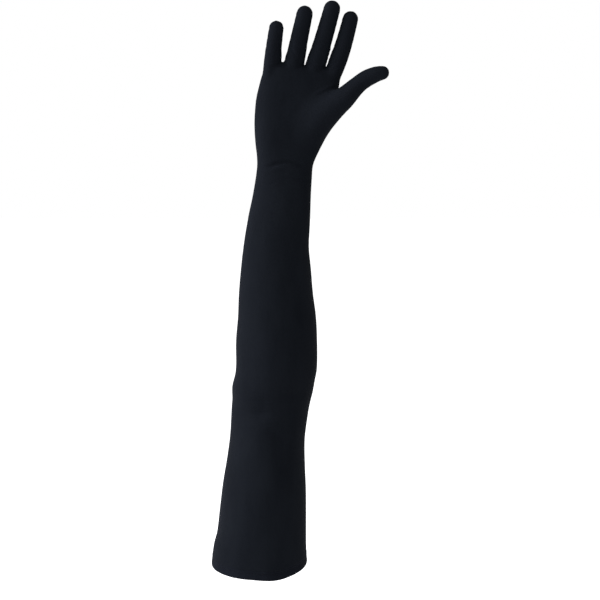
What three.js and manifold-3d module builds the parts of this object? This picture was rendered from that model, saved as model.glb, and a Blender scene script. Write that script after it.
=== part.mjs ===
// Long stretch glove for the right hand, in the form it takes when worn with the hand open. It is
// cut as two panels, palm side and back, that meet at one seam. The seam runs up the little finger
// side of the sleeve, round every finger and the thumb, and down the thumb side. A turned-up hem
// of doubled cloth closes the arm opening.
//
// Millimetres. +Z runs up the arm to the fingertips, +X points to the thumb side, and -Y is the
// palm side. The origin is the middle of the arm opening.

import * as THREE from 'three';
import { mergeVertices } from 'three/addons/utils/BufferGeometryUtils.js';
import Module from 'manifold-3d';

const CLOTH = 1.2;             // thickness of one layer
const SEAM_GAP = 0.3;          // clearance between pieces that are sewn together
const HEM_HEIGHT = 10;         // doubled band at the arm opening
const HEM_TILT = 3.6;          // degrees: the opening is higher on the thumb side
const SLEEVE_SIDES = 24;
const FINGER_SIDES = 12;
const TIP_RINGS = 3;           // rings that round off a fingertip
const TIP_FLAT = 0.35;         // share of a ring's step that is left flat at the very tip
const THINNEST = 0.2;          // least half width of any ring
const WELD = 1e-3;             // points closer than this are one point
const PAST_THE_OPENING = 5;    // how far the hollow runs out through the hem
const BELOW_THE_HEM = -1;      // the hem's slab starts under its lowest point

// The sleeve and the palm: oval sections from the arm opening to the base of the fingers.
// x, z: middle of the section. tilt: degrees, positive lifts its thumb side. halfWidth across,
// halfDepth from palm side to back. skew: degrees that the oval leans to one side. square: 2 is an
// ellipse, more is boxier. rings: sections drawn up to the next row.
const SLEEVE = [
  { z: 0, x: 0, tilt: HEM_TILT, halfWidth: 51.8, halfDepth: 47, skew: -8, square: 2, rings: 2 },
  { z: 20, x: 1.2, tilt: 2, halfWidth: 49.5, halfDepth: 46.5, skew: -8, square: 2, rings: 1 },
  { z: 34, x: 2.4, tilt: 0, halfWidth: 48.2, halfDepth: 46, skew: -7, square: 2, rings: 1 },
  { z: 61, x: 4.2, tilt: -2, halfWidth: 46.4, halfDepth: 45, skew: -6, square: 2, rings: 1 },
  { z: 88, x: 5.9, tilt: -3, halfWidth: 44.5, halfDepth: 44, skew: -5, square: 2, rings: 1 },
  { z: 115, x: 7.7, tilt: -4, halfWidth: 41.7, halfDepth: 43, skew: -4, square: 2, rings: 1 },
  { z: 142, x: 9.4, tilt: -4, halfWidth: 39.9, halfDepth: 42, skew: -2, square: 2, rings: 3 },
  { z: 168, x: 11.7, tilt: -4, halfWidth: 40.8, halfDepth: 41.5, skew: 0, square: 2, rings: 2 },
  { z: 181, x: 13.4, tilt: -4, halfWidth: 41.3, halfDepth: 41, skew: 0, square: 2, rings: 2 },
  { z: 194, x: 15, tilt: -4, halfWidth: 42.7, halfDepth: 40.5, skew: 0, square: 2, rings: 2 },
  { z: 207, x: 17.7, tilt: -4, halfWidth: 42.2, halfDepth: 40, skew: 0, square: 2, rings: 2 },
  { z: 220, x: 19.3, tilt: -3, halfWidth: 42.6, halfDepth: 39.5, skew: 0, square: 2, rings: 1 },
  { z: 246, x: 19.4, tilt: -1, halfWidth: 42.4, halfDepth: 38.5, skew: 0, square: 2, rings: 1 },
  { z: 272, x: 20, tilt: 0, halfWidth: 40.7, halfDepth: 37, skew: 0, square: 2, rings: 1 },
  { z: 297, x: 19.1, tilt: 0, halfWidth: 38.5, halfDepth: 35, skew: 0, square: 2, rings: 1 },
  { z: 323, x: 19.2, tilt: 0, halfWidth: 36.2, halfDepth: 32, skew: 0, square: 2, rings: 1 },
  { z: 348, x: 19.8, tilt: -3, halfWidth: 33.5, halfDepth: 28.5, skew: 0, square: 2, rings: 1 },
  { z: 372, x: 22.5, tilt: -6, halfWidth: 31.9, halfDepth: 25, skew: 0, square: 2, rings: 1 },
  { z: 397, x: 25.6, tilt: -7, halfWidth: 29.6, halfDepth: 21.5, skew: 0, square: 2.1, rings: 4 },
  { z: 421, x: 28.2, tilt: -8, halfWidth: 28.2, halfDepth: 19.5, skew: 0, square: 2.2, rings: 4 },
  { z: 434, x: 29, tilt: -8, halfWidth: 28.7, halfDepth: 18.5, skew: 0, square: 2.2, rings: 2 },
  { z: 446, x: 30.8, tilt: -8, halfWidth: 31.7, halfDepth: 17.5, skew: 0, square: 2.3, rings: 1 },
  { z: 458, x: 33.3, tilt: -8, halfWidth: 35, halfDepth: 16.5, skew: 0, square: 2.4, rings: 1 },
  { z: 472, x: 37, tilt: -8, halfWidth: 38.8, halfDepth: 15.5, skew: 0, square: 2.5, rings: 1 },
  { z: 490, x: 40.3, tilt: -8, halfWidth: 40.6, halfDepth: 14.5, skew: 0, square: 2.5, rings: 1 },
  { z: 506, x: 43.6, tilt: -8, halfWidth: 39.9, halfDepth: 13, skew: 0, square: 2.4, rings: 1 },
  { z: 519, x: 46.2, tilt: -8, halfWidth: 38.8, halfDepth: 10.5, skew: 0, square: 2.3, rings: 1 },
];
const PALM_EDGE = 8;           // height of the rounded edge between the fingers

// The fingers. root and tip: x and z of the ends of the centre line, the root lying inside the
// palm. bow: how far the middle of the line bends to the thumb side. half: half widths at the root,
// at the middle joint and where the tip starts to round.
const FINGERS = [
  { name: 'little', root: [14, 498], tip: [21.9, 571.2], bow: -1.2, half: [9.3, 8, 6.9] },
  { name: 'ring', root: [30.6, 498], tip: [50.2, 585.3], bow: 0.1, half: [9.9, 8.7, 7.8] },
  { name: 'middle', root: [49.2, 498], tip: [77.3, 590], bow: 1, half: [9.7, 8.7, 7.9] },
  { name: 'index', root: [67.8, 496], tip: [94.9, 580], bow: 2.4, half: [8.1, 8.3, 7.4] },
];
const FINGER_DEPTH = 0.94;     // a finger's depth for its width
const JOINT_AT = 0.52;         // the middle joint, as a share of the finger's length
const FINGER_SECTIONS = [0, 0.2, 0.36, JOINT_AT, 0.66, 0.8];

// The thumb, from its root in the heel of the hand to the tip, with the web that joins it to the
// palm. Its tip stands forward of the palm, so depth here is the half depth alone.
const THUMB = [
  { x: 42, z: 436, halfWidth: 12, halfDepth: 13 },
  { x: 53.5, z: 463, halfWidth: 16.2, halfDepth: 17 },
  { x: 73, z: 485.3, halfWidth: 15.3, halfDepth: 15.5 },
  { x: 90.2, z: 499, halfWidth: 11.2, halfDepth: 11.4 },
  { x: 100.4, z: 508.4, halfWidth: 9.1, halfDepth: 9.4 },
  { x: 108.8, z: 514.9, halfWidth: 8.5, halfDepth: 8.7 },
  { x: 117, z: 519.6, halfWidth: 7.9, halfDepth: 7.6 },
  { x: 123.3, z: 521.4, halfWidth: 7, halfDepth: 6.8 },
];
const THUMB_RINGS = 2;         // sections drawn between two rows

// Depth of the seam between the two panels, which is also the middle depth of every section:
// the elbow lies back, the wrist and hand come forward, and the fingers curl to the palm side.
const SEAM = [
  { z: -30, y: 0 },
  { z: 0, y: 0 },
  { z: 60, y: 1.5 },
  { z: 130, y: 3 },
  { z: 190, y: 3 },
  { z: 250, y: 1 },
  { z: 320, y: -3 },
  { z: 380, y: -6.5 },
  { z: 430, y: -8 },
  { z: 470, y: -7.5 },
  { z: 500, y: -7 },
  { z: 520, y: -7.5 },
  { z: 540, y: -9 },
  { z: 560, y: -12 },
  { z: 580, y: -16.5 },
  { z: 620, y: -28 },
];
// The thumb's forward lean, measured along and across the line from its root to its tip.
const THUMB_LEAN = { x: 42, z: 436, angle: 41, length: 110, forward: 24, full: 12, none: 34 };

// Folds, dents and swellings of the stretched cloth. z: height. side: degrees round the section,
// where -90 is the palm side, 90 the back and 180 the little finger side. reach: degrees it
// spreads. bow: how far its ends drop below its middle. width: along the arm. depth: sunk, or
// raised where negative.
const RELIEF = [
  { name: 'wrist_fold', z: 429, side: -92, reach: 38, bow: 5, width: 3.4, depth: 1.4 },
  { name: 'wrist_crease', z: 414.5, side: -48, reach: 26, bow: 1, width: 3, depth: 0.9 },
  { name: 'elbow_hollow', z: 174, side: -115, reach: 40, bow: 4, width: 12, depth: 2.6 },
  { name: 'elbow_crease', z: 201, side: -165, reach: 24, bow: 2, width: 4, depth: 1.2 },
  { name: 'elbow_point', z: 184, side: 100, reach: 32, bow: 0, width: 15, depth: -3.5 },
  { name: 'forearm_muscle', z: 240, side: -75, reach: 50, bow: 0, width: 34, depth: -2.4 },
  { name: 'upper_arm_muscle', z: 84, side: -95, reach: 50, bow: 0, width: 48, depth: -3 },
  { name: 'wrist_bone', z: 413, side: 125, reach: 26, bow: 0, width: 9, depth: -1.8 },
  { name: 'heel_of_hand', z: 458, side: -128, reach: 34, bow: 0, width: 20, depth: -2.6 },
  { name: 'palm_hollow', z: 486, side: -95, reach: 30, bow: 0, width: 17, depth: 2.4 },
  { name: 'knuckles', z: 507, side: 90, reach: 60, bow: 0, width: 8, depth: -1.8 },
];

const radians = THREE.MathUtils.degToRad;
const wasm = await Module();
wasm.setup();

function catmullRom(a, b, c, d, t) {
  const slopeIn = (c - a) / 2;
  const slopeOut = (d - b) / 2;
  return (2 * b - 2 * c + slopeIn + slopeOut) * t ** 3
    + (-3 * b + 3 * c - 2 * slopeIn - slopeOut) * t ** 2 + slopeIn * t + b;
}

// The row a share t of the way from row i to row i + 1, with every numeric column smoothed.
function rowBetween(rows, i, t) {
  const at = (k) => rows[THREE.MathUtils.clamp(k, 0, rows.length - 1)];
  const made = {};
  for (const column of Object.keys(rows[i])) {
    made[column] = catmullRom(at(i - 1)[column], at(i)[column], at(i + 1)[column], at(i + 2)[column], t);
  }
  return made;
}

function smoothRows(rows, ringsAfter) {
  const dense = [];
  for (let i = 0; i < rows.length - 1; i++) {
    const steps = ringsAfter(rows[i]);
    for (let k = 0; k < steps; k++) dense.push(rowBetween(rows, i, k / steps));
  }
  dense.push({ ...rows[rows.length - 1] });
  return dense;
}

function seamDepth(x, z) {
  let i = 0;
  while (i < SEAM.length - 2 && z > SEAM[i + 1].z) i++;
  const share = THREE.MathUtils.clamp((z - SEAM[i].z) / (SEAM[i + 1].z - SEAM[i].z), 0, 1);
  const middle = THREE.MathUtils.lerp(SEAM[i].y, SEAM[i + 1].y, share);
  const { angle, length, forward, full, none } = THUMB_LEAN;
  const dx = x - THUMB_LEAN.x;
  const dz = z - THUMB_LEAN.z;
  const along = dx * Math.cos(radians(angle)) + dz * Math.sin(radians(angle));
  const across = Math.abs(dz * Math.cos(radians(angle)) - dx * Math.sin(radians(angle)));
  const nearness = 1 - THREE.MathUtils.smoothstep(across, full, none);
  return middle - forward * THREE.MathUtils.smoothstep(along, 0, length) * nearness;
}

function reliefDepth(angle, z) {
  let depth = 0;
  for (const form of RELIEF) {
    const turn = THREE.MathUtils.euclideanModulo(angle - form.side + 180, 360) - 180;
    const away = turn / form.reach;
    const off = (z - form.z + form.bow * away * away) / form.width;
    depth += form.depth * Math.exp(-off * off) * Math.exp(-away * away);
  }
  return depth;
}

// A power of a sine or cosine that keeps its sign: it turns an ellipse into a boxier oval.
function rounded(value, square) {
  return Math.sign(value) * Math.abs(value) ** (2 / square);
}

function ovalRing(row, sides, inset, relief = false) {
  const points = [];
  const middle = seamDepth(row.x, row.z);
  const tilt = radians(row.tilt);
  for (let k = 0; k < sides; k++) {
    const angle = (2 * Math.PI * k) / sides;
    const sink = inset + (relief ? reliefDepth(THREE.MathUtils.radToDeg(angle), row.z) : 0);
    const across = Math.max(row.halfWidth - sink, THINNEST) * rounded(Math.cos(angle), row.square);
    const turned = Math.sin(angle + radians(row.skew));
    const through = Math.max(row.halfDepth - sink, THINNEST) * rounded(turned, row.square);
    points.push(new THREE.Vector3(
      row.x + across * Math.cos(tilt), middle + through, row.z + across * Math.sin(tilt)));
  }
  return points;
}

// A closed body through a stack of rings, with a flat cap at each end.
function loft(rings) {
  const sides = rings[0].length;
  const positions = [];
  const index = [];
  const middleOf = (ring) => ring.reduce((sum, p) => sum.add(p), new THREE.Vector3()).divideScalar(sides);
  for (const ring of rings) for (const p of ring) positions.push(p.x, p.y, p.z);
  for (let i = 0; i < rings.length - 1; i++) {
    for (let k = 0; k < sides; k++) {
      const a = i * sides + k;
      const b = i * sides + (k + 1) % sides;
      index.push(a, b, b + sides, a, b + sides, a + sides);
    }
  }
  const first = middleOf(rings[0]);
  const last = middleOf(rings[rings.length - 1]);
  const firstIndex = rings.length * sides;
  const top = (rings.length - 1) * sides;
  positions.push(first.x, first.y, first.z, last.x, last.y, last.z);
  for (let k = 0; k < sides; k++) {
    index.push(firstIndex, (k + 1) % sides, k);
    index.push(firstIndex + 1, top + k, top + (k + 1) % sides);
  }
  const geometry = new THREE.BufferGeometry();
  geometry.setAttribute('position', new THREE.Float32BufferAttribute(positions, 3));
  geometry.setIndex(index);
  return geometry;
}

function solidOf(geometry) {
  const bare = geometry.clone();
  bare.deleteAttribute('normal');
  bare.deleteAttribute('uv');
  const merged = mergeVertices(bare, WELD);
  return new wasm.Manifold(new wasm.Mesh({
    numProp: 3,
    vertProperties: merged.attributes.position.array,
    triVerts: new Uint32Array(merged.index.array),
  }));
}

function geometryOf(solid) {
  const mesh = solid.getMesh();
  const geometry = new THREE.BufferGeometry();
  geometry.setAttribute('position', new THREE.BufferAttribute(mesh.vertProperties, 3));
  geometry.setIndex(new THREE.BufferAttribute(mesh.triVerts, 1));
  geometry.computeVertexNormals();
  return geometry;
}

// Rings that round off the end of a finger: its half width and depth shrink to a point over a
// length of one half width.
function tipRows(last, lean, inset) {
  const rows = [];
  const reach = last.halfWidth - inset;
  for (let k = 1; k <= TIP_RINGS; k++) {
    const turn = (Math.PI / 2) * (k / (TIP_RINGS + TIP_FLAT));
    rows.push({
      ...last,
      x: last.x + reach * Math.sin(turn) * Math.sin(lean),
      z: last.z + reach * Math.sin(turn) * Math.cos(lean),
      halfWidth: (last.halfWidth - inset) * Math.cos(turn) + inset,
      halfDepth: (last.halfDepth - inset) * Math.cos(turn) + inset,
    });
  }
  return rows;
}

// Each row turned square to the line that the rows follow.
function squaredToLine(rows) {
  return rows.map((row, i) => {
    const before = rows[Math.max(i - 1, 0)];
    const after = rows[Math.min(i + 1, rows.length - 1)];
    const lean = Math.atan2(after.x - before.x, after.z - before.z);
    return { ...row, tilt: -THREE.MathUtils.radToDeg(lean) };
  });
}

// How far a bowed line stands off its chord at a share of its length.
function bowAt(bow, share) {
  return 4 * bow * share * (1 - share);
}

function fingerRows(finger) {
  const [rootX, rootZ] = finger.root;
  const [tipX, tipZ] = finger.tip;
  const [rootHalf, jointHalf, tipHalf] = finger.half;
  const roundStart = 1 - tipHalf / Math.hypot(tipX - rootX, tipZ - rootZ);
  return squaredToLine([...FINGER_SECTIONS, roundStart].map((share) => {
    const pastJoint = (share - JOINT_AT) / (roundStart - JOINT_AT);
    const half = share < JOINT_AT
      ? THREE.MathUtils.lerp(rootHalf, jointHalf, share / JOINT_AT)
      : THREE.MathUtils.lerp(jointHalf, tipHalf, pastJoint);
    return {
      x: THREE.MathUtils.lerp(rootX, tipX, share) + bowAt(finger.bow, share),
      z: THREE.MathUtils.lerp(rootZ, tipZ, share),
      halfWidth: half,
      halfDepth: half * FINGER_DEPTH,
      skew: 0,
      square: 2,
    };
  }));
}

function fingerBody(finger, inset) {
  const rows = fingerRows(finger);
  const last = rows[rows.length - 1];
  const all = [...rows, ...tipRows(last, -radians(last.tilt), inset)];
  return solidOf(loft(all.map((row) => ovalRing(row, FINGER_SIDES, inset))));
}

function thumbBody(inset) {
  const rows = squaredToLine(smoothRows(THUMB, () => THUMB_RINGS))
    .map((row) => ({ ...row, skew: 0, square: 2 }));
  const last = rows[rows.length - 1];
  const all = [...rows, ...tipRows(last, -radians(last.tilt), inset)];
  return solidOf(loft(all.map((row) => ovalRing(row, FINGER_SIDES, inset))));
}

// The palm's far edge is rounded from front to back only, and makes the webs between the fingers.
function palmEdgeRows(last, inset) {
  const rows = [];
  for (let k = 1; k <= TIP_RINGS; k++) {
    const turn = (Math.PI / 2) * (k / (TIP_RINGS + TIP_FLAT));
    rows.push({
      ...last,
      x: last.x - (PALM_EDGE - inset) * Math.sin(turn) * Math.sin(radians(last.tilt)),
      z: last.z + (PALM_EDGE - inset) * Math.sin(turn) * Math.cos(radians(last.tilt)),
      halfDepth: (last.halfDepth - inset) * Math.cos(turn) + inset,
    });
  }
  return rows;
}

function sleeveRows() {
  return smoothRows(SLEEVE, (row) => row.rings);
}

function sleeveBody(inset, lowerBy) {
  const rows = sleeveRows();
  const last = rows[rows.length - 1];
  const all = [...rows, ...palmEdgeRows(last, inset)];
  if (lowerBy > 0) all.unshift({ ...rows[0], z: rows[0].z - lowerBy });
  return solidOf(loft(all.map((row) => ovalRing(row, SLEEVE_SIDES, inset, true))));
}

// The whole glove's outer form, or with an inset the hollow inside it.
function gloveBody(inset, lowerBy) {
  let body = sleeveBody(inset, lowerBy).add(thumbBody(inset));
  for (const finger of FINGERS) body = body.add(fingerBody(finger, inset));
  return body;
}

// Everything on one side of the seam: side -1 is the palm side and +1 the back. Its near face is
// a grid that follows the seam's depth, finer where the thumb leans forward.
const THUMB_GRID = { xFrom: 40, xTo: 130, zFrom: 440, zTo: 530, step: 10 };
const GRID_LEFT = -90;
const GRID_RIGHT = 160;
const GRID_FAR = 120;

function steps(from, to, step) {
  return Array.from({ length: Math.round((to - from) / step) + 1 }, (_, k) => from + k * step);
}

function sideOfSeam(side) {
  const { xFrom, xTo, zFrom, zTo, step } = THUMB_GRID;
  const xLines = [GRID_LEFT, ...steps(xFrom, xTo, step), GRID_RIGHT];
  const seamLines = SEAM.map((row) => row.z);
  const zLines = [...new Set([...seamLines, ...steps(zFrom, zTo, step)])].sort((a, b) => a - b);
  const columns = xLines.length;
  const near = zLines.map((z) => xLines.map((x) => [x, seamDepth(x, z) + (side * SEAM_GAP) / 2, z]));
  const distant = zLines.map((z) => xLines.map((x) => [x, side * GRID_FAR, z]));
  const positions = [...near, ...distant].flat(2);
  const far = zLines.length * columns;
  const index = [];
  const quad = (a, b, c, d) => index.push(...(side < 0 ? [a, b, c, a, c, d] : [a, c, b, a, d, c]));
  for (let i = 0; i < zLines.length - 1; i++) {
    for (let k = 0; k < columns - 1; k++) {
      const a = i * columns + k;
      quad(a + 1, a, a + columns, a + columns + 1);
      quad(far + a, far + a + 1, far + a + columns + 1, far + a + columns);
    }
    const left = i * columns;
    const right = left + columns - 1;
    quad(left, far + left, far + left + columns, left + columns);
    quad(far + right, right, right + columns, far + right + columns);
  }
  const topRow = (zLines.length - 1) * columns;
  for (let k = 0; k < columns - 1; k++) {
    quad(k, k + 1, far + k + 1, far + k);
    quad(topRow + k + 1, topRow + k, far + topRow + k, far + topRow + k + 1);
  }
  const geometry = new THREE.BufferGeometry();
  geometry.setAttribute('position', new THREE.Float32BufferAttribute(positions, 3));
  geometry.setIndex(index);
  return solidOf(geometry);
}

// A slab that follows the slope of the arm opening, between two heights above it.
const SLAB_SPAN = 800;

function openingSlab(from, to) {
  const slab = new THREE.BoxGeometry(SLAB_SPAN, SLAB_SPAN, to - from);
  slab.translate(0, 0, (from + to) / 2);
  slab.rotateY(-radians(HEM_TILT));
  return solidOf(slab);
}

const outer = gloveBody(0, 0);
const hollow = gloveBody(CLOTH, PAST_THE_OPENING);
const shell = outer.subtract(hollow);
const ABOVE_THE_FINGERTIPS = 700;
const aboveHem = openingSlab(HEM_HEIGHT + SEAM_GAP, ABOVE_THE_FINGERTIPS);
const hemOuter = sleeveBody(0, 0).intersect(openingSlab(BELOW_THE_HEM, HEM_HEIGHT));
const hemHollow = sleeveBody(2 * CLOTH, PAST_THE_OPENING);

const cloth = { roughness: 0.62, metalness: 0 };
const PIECES = [
  { name: 'palm_panel', solid: shell.intersect(sideOfSeam(-1)).intersect(aboveHem), color: 0x15181d },
  { name: 'back_panel', solid: shell.intersect(sideOfSeam(1)).intersect(aboveHem), color: 0x15181d },
  { name: 'hem_band', solid: hemOuter.subtract(hemHollow), color: 0x121620 },
];

const glove = new THREE.Group();
glove.name = 'glove';
for (const { name, solid, color } of PIECES) {
  const mesh = new THREE.Mesh(geometryOf(solid), new THREE.MeshStandardMaterial({ ...cloth, color }));
  mesh.name = name;
  glove.add(mesh);
}

export default glove;
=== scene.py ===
# %% [markdown]
# # A long stretch glove
#
# A glove of black stretch knit for the right hand, in the form it takes when it is worn. It is cut
# as two flat panels, palm side and back, that are overlocked together inside out along one seam,
# and its arm opening has a turned-up hem. Nothing in it is stiff: in use it is a thin, tight skin,
# which bridges the hollows and folds a little at the wrist, the elbow and the fingers.
#
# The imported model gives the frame. This script dresses it: the palm, the back and the hem each
# stand for one of its nodes, at the same place and size, with the finer surface that a close look
# asks for. The stitches and the seam allowance are added to them.

# %% Frame
import math
import bpy
import numpy as np
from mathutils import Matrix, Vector


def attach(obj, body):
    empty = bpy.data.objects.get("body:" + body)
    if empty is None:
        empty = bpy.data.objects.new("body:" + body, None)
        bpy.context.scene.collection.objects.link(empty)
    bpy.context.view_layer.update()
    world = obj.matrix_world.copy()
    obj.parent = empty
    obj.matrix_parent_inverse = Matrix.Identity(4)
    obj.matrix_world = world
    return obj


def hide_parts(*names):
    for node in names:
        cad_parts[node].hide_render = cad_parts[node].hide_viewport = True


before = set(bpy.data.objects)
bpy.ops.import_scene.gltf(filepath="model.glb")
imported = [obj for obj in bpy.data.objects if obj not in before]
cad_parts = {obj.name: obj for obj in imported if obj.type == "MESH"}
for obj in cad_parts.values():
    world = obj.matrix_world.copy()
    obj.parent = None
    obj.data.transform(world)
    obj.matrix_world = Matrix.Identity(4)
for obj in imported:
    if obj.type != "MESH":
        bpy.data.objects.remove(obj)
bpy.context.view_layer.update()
MM = 0.001
rng = np.random.default_rng(7)
print("packed nodes:", sorted(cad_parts))

# %% [markdown]
# ## Camera
#
# A glove like this is seen best from a little above its middle, through a lens long enough that
# the fingers and the hem keep their proportions. The camera is made first, so that every later
# step can be looked at through it.

# %% Camera
CAMERA_RISE = math.radians(10.5)
CAMERA_DISTANCE = 1180 * MM
CAMERA_TARGET = Vector((44.0, 0.0, 289.5)) * MM
CAMERA_LENS = 68.08            # millimetres, on a sensor 36 wide
NEAREST_SEEN, FARTHEST_SEEN = 0.05, 30
camera_data = bpy.data.cameras.new("camera")
camera_data.lens = CAMERA_LENS
camera_data.clip_start = NEAREST_SEEN
camera_data.clip_end = FARTHEST_SEEN
camera = bpy.data.objects.new("camera", camera_data)
bpy.context.scene.collection.objects.link(camera)
to_camera = Vector((0, -math.cos(CAMERA_RISE), math.sin(CAMERA_RISE)))
camera.location = CAMERA_TARGET + CAMERA_DISTANCE * to_camera
camera.rotation_euler = (math.pi / 2 - CAMERA_RISE, 0, 0)
bpy.context.scene.camera = camera
print("camera at", tuple(round(v, 3) for v in camera.location))

# %% [markdown]
# ## The glove's sections
#
# The form could be sculpted, or grown from a skeleton with a skin modifier. Sections in a table
# give more control: a row says how wide and how deep the glove is at one height, as a tape
# measure would, and a smooth curve through the rows makes the rest. These rows follow the solid
# model's, with small changes for what the smoothing further down takes away. Lengths here are
# millimetres, and a mesh is scaled to metres when it is made.

# %% Tables of sections
def table(columns, rows):
    """Rows of numbers as named columns."""
    return dict(zip(columns.split(), np.array(rows, float).T))


# z and x: the middle of a section. tilt: degrees that it rises to the thumb side. skew: degrees
# that the oval leans to one side. square: 2 is an ellipse, and more is boxier.
SLEEVE = table("z x tilt half_width half_depth skew square", [
    (0, -0.5, 3.6, 52.3, 47, -8, 2),
    (20, 0.5, 2, 50.3, 46.5, -8, 2),
    (34, 2.4, 0, 48.2, 46, -7, 2),
    (61, 4.2, -2, 46.4, 45, -6, 2),
    (88, 5.9, -3, 44.5, 44, -5, 2),
    (115, 7.7, -4, 41.7, 43, -4, 2),
    (142, 9.4, -4, 39.9, 42, -2, 2),
    (168, 11.7, -4, 40.8, 41.5, 0, 2),
    (181, 13.4, -4, 41.3, 41, 0, 2),
    (194, 15, -4, 42.7, 40.5, 0, 2),
    (207, 17.7, -4, 42.2, 40, 0, 2),
    (220, 19.3, -3, 42.6, 39.5, 0, 2),
    (246, 19.4, -1, 42.4, 38.5, 0, 2),
    (272, 20, 0, 40.7, 37, 0, 2),
    (297, 19.1, 0, 38.5, 35, 0, 2),
    (323, 19.2, 0, 36.2, 32, 0, 2),
    (348, 19.8, -3, 33.5, 28.5, 0, 2),
    (372, 22.5, -6, 31.9, 25, 0, 2),
    (397, 25.6, -7, 29.6, 21.5, 0, 2.1),
    (421, 28.2, -8, 28.2, 19.5, 0, 2.2),
    (434, 29, -8, 28.7, 18.5, 0, 2.2),
    (446, 30.8, -8, 31.7, 17.5, 0, 2.3),
    (458, 33.3, -8, 35, 16.5, 0, 2.4),
    (472, 37, -8, 38.8, 15.5, 0, 2.5),
    (490, 40.3, -8, 40.6, 14.5, 0, 2.5),
    (506, 43.6, -8, 39.9, 13, 0, 2.4),
    (519, 46.2, -8, 38.8, 10.5, 0, 2.3),
])
PALM_EDGE = 8                  # height of the rounded edge between the fingers

FINGERS = {
    # name: root x z, tip x z, bow, half width at the root, the middle joint and the tip
    "little": (14, 498, 21.9, 571.4, -1.2, 9.2, 8.4, 7.4),
    "ring": (30.6, 498, 50.2, 585.3, 0.1, 9.1, 9.2, 8.2),
    "middle": (49.2, 498, 77.3, 590, 1, 8.9, 9.2, 8.3),
    "index": (67.9, 496, 95, 580, 2.4, 7.7, 8.8, 7.8),
}
FINGER_DEPTH = 0.94

THUMB = table("x z half_width half_depth", [
    (42, 436, 12, 13),
    (53.5, 463, 16.2, 15.6),
    (73, 485.3, 15.3, 13.9),
    (90.2, 499, 11.2, 11.4),
    (100.4, 508.4, 9.1, 9.4),
    (108.8, 514.9, 8.5, 8.7),
    (117.3, 518.9, 7.8, 7.5),
    (124.2, 520.7, 6.9, 6.7),
])

# The depth of the line between the two panels, at each height.
SEAM = table("z y", [
    (-30, 0), (0, 0), (60, 1.5), (130, 3), (190, 3), (250, 1), (320, -3), (380, -6.5), (430, -8),
    (470, -7.5), (500, -7), (520, -7.5), (540, -9), (560, -12), (580, -16.5), (620, -28),
])
LEAN_X, LEAN_Z = 42, 436       # where the thumb starts to lean forward
LEAN_ANGLE = math.radians(41)
LEAN_LENGTH, LEAN_FORWARD = 110, 24
LEAN_FULL, LEAN_NONE = 12, 34  # distance from the thumb's line

# side: degrees round the section, where -90 is the palm side and 90 the back. reach: degrees that
# the form spreads. bow: how far its ends drop. width: along the arm. depth: raised where negative.
RELIEF = table("z side reach bow width depth", [
    (174, -115, 42, 3, 14, 2.6),       # hollow inside the elbow
    (184, 100, 32, 0, 15, -3.5),       # point of the elbow
    (240, -75, 50, 0, 34, -2.4),       # muscle of the forearm
    (84, -95, 50, 0, 48, -3),          # muscle of the upper arm
    (413, 125, 26, 0, 9, -1.8),        # wrist bone
    (458, -122, 36, 0, 24, -2.8),      # heel of the hand
    (486, -95, 30, 0, 17, 0.4),        # hollow of the palm, which the cloth bridges
    (507, 90, 60, 0, 8, -1.8),         # knuckles
])
print(len(SLEEVE["z"]), "sleeve sections,", len(THUMB["z"]), "thumb sections,", len(FINGERS), "fingers")


# %% Curves through the tables
CURVE_STEPS = 12               # sections to a row, where only a curve is wanted
THINNEST = 0.2                 # least half width of any section


def smoothed(rows, steps):
    """Every column passed through a Catmull-Rom curve, with this many sections to a row."""
    count = len(next(iter(rows.values())))
    at = np.linspace(0, count - 1, (count - 1) * steps + 1)
    i = np.minimum(at.astype(int), count - 2)
    t = at - i
    dense = {}
    for name, column in rows.items():
        a, b, c, d = (column[np.clip(i + k, 0, count - 1)] for k in (-1, 0, 1, 2))
        square, cube = 2 * a - 5 * b + 4 * c - d, 3 * (b - c) + d - a
        dense[name] = b + 0.5 * t * ((c - a) + t * (square + t * cube))
    return dense


def smoothstep(value, low, high):
    t = np.clip((value - low) / (high - low), 0, 1)
    return t * t * (3 - 2 * t)


SEAM_CURVE = smoothed(SEAM, CURVE_STEPS)


def seam_depth(x, z):
    """Depth of the seam between the panels, which is also the middle depth of every section."""
    dx, dz = x - LEAN_X, z - LEAN_Z
    along = dx * math.cos(LEAN_ANGLE) + dz * math.sin(LEAN_ANGLE)
    across = np.abs(dz * math.cos(LEAN_ANGLE) - dx * math.sin(LEAN_ANGLE))
    lean = smoothstep(along, 0, LEAN_LENGTH) * (1 - smoothstep(across, LEAN_FULL, LEAN_NONE))
    return np.interp(z, SEAM_CURVE["z"], SEAM_CURVE["y"]) - LEAN_FORWARD * lean


def relief_depth(angle, z):
    """How far the large hollows and swellings sink the surface at these places, in degrees and mm."""
    depth = np.zeros(np.broadcast(angle, z).shape)
    for form_z, side, reach, bow, width, deep in zip(*RELIEF.values()):
        away = ((angle - side + 180) % 360 - 180) / reach
        off = (z - form_z + bow * away ** 2) / width
        depth += deep * np.exp(-off ** 2) * np.exp(-away ** 2)
    return depth


def signed_power(value, power):
    return np.sign(value) * np.abs(value) ** power


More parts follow.
